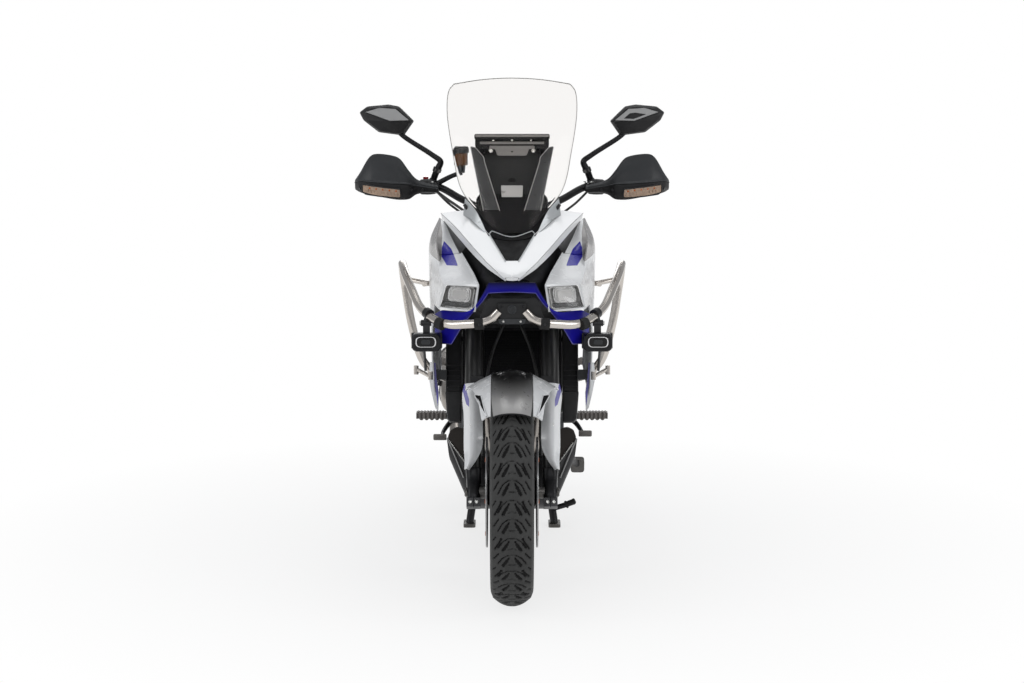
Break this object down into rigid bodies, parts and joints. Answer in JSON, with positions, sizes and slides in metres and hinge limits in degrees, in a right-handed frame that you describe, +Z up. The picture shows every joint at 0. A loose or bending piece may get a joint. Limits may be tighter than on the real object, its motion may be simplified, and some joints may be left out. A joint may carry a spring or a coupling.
{
  "type": "sport touring motorcycle",
  "caption": "Sport touring motorcycle with a tall screen, handguards and crash bars, upright on its centre stand; steering, wheels and both stands move.",
  "frame": {"origin": "on the floor, midway between the front of the front tyre and the rear of the plate holder, on the centre line", "axes": "+Z up, -Y towards the front wheel, +X towards the rider's left"},
  "size_m": [0.948, 2.2328, 1.499],
  "materials": {
    "white_paint": "gloss",
    "blue_paint": "gloss",
    "silver_paint": "satin",
    "black_plastic": "matte",
    "dark_plastic": "satin",
    "frame_paint": "satin",
    "fork_alloy": "satin",
    "engine_alloy": "satin",
    "cast_alloy": "satin",
    "stainless": "satin",
    "guard_steel": "satin",
    "disc_steel": "satin",
    "dark_steel": "satin",
    "tyre_rubber": "matte",
    "seat_cover": "matte",
    "clear_lens": "gloss",
    "red_lens": "gloss",
    "screen_clear": "gloss"
  },
  "bodies": {
    "chassis": {"main_frame": "frame_paint", "subframe": "frame_paint", "left_side_cover": "dark_plastic", "right_side_cover": "dark_plastic", "engine": "engine_alloy", "radiator": "fork_alloy", "exhaust": "stainless", "swingarm": "cast_alloy", "rear_shock": "dark_steel", "chain": "dark_steel", "rear_brake_caliper": "fork_alloy", "rear_hugger": "black_plastic", "fuel_tank": "white_paint", "rider_seat": "seat_cover", "pillion_seat": "seat_cover", "tail_cowl": "white_paint", "tail_light": "red_lens", "luggage_rack": "fork_alloy", "plate_holder": "black_plastic", "windscreen": "screen_clear", "screen_bracket": "dark_plastic", "screen_surround": "silver_paint", "fairing_core": "black_plastic", "nose_cowl": "white_paint", "left_headlight": "clear_lens", "right_headlight": "clear_lens", "chin_panel": "blue_paint", "left_side_fairing": "white_paint", "right_side_fairing": "white_paint", "crash_bars": "guard_steel", "left_fog_lamp": "fork_alloy", "right_fog_lamp": "fork_alloy", "skid_plate": "dark_steel", "left_footrest": "fork_alloy", "right_footrest": "fork_alloy"},
    "steering": {"front_fork": "fork_alloy", "triple_clamps": "fork_alloy", "handlebar": "fork_alloy", "left_handguard": "black_plastic", "right_handguard": "black_plastic", "left_mirror": "black_plastic", "right_mirror": "black_plastic", "front_fender": "silver_paint", "left_fork_guard": "white_paint", "right_fork_guard": "white_paint", "left_brake_caliper": "fork_alloy", "right_brake_caliper": "fork_alloy", "front_brake_hoses": "black_plastic"},
    "front_wheel": {"front_rim": "cast_alloy", "front_tyre": "tyre_rubber", "left_front_disc": "disc_steel", "right_front_disc": "disc_steel"},
    "rear_wheel": {"rear_rim": "cast_alloy", "rear_tyre": "tyre_rubber", "rear_disc": "disc_steel", "rear_sprocket": "dark_steel"},
    "centre_stand": {"centre_stand": "frame_paint"},
    "side_stand": {"side_stand": "frame_paint"}
  },
  "joints": [
    {"name": "steering_turn", "type": "hinge", "parent": "chassis", "child": "steering", "pos_m": [0, -0.898, 0], "axis": [0, 0.4305, 0.9026], "range_deg": [-34, 34]},
    {"name": "front_wheel_spin", "type": "hinge", "parent": "steering", "child": "front_wheel", "pos_m": [0, -0.792, 0.325], "axis": [1, 0, 0], "continuous": true},
    {"name": "rear_wheel_spin", "type": "hinge", "parent": "chassis", "child": "rear_wheel", "pos_m": [0, 0.739, 0.339], "axis": [1, 0, 0], "continuous": true},
    {"name": "centre_stand_fold", "type": "hinge", "parent": "chassis", "child": "centre_stand", "pos_m": [0, 0.245, 0.285], "axis": [1, 0, 0], "range_deg": [0, 80]},
    {"name": "side_stand_swing", "type": "hinge", "parent": "chassis", "child": "side_stand", "pos_m": [0.152, 0.062, 0.3], "axis": [-0.8823, 0.0303, -0.4698], "range_deg": [0, 91]}
  ]
}
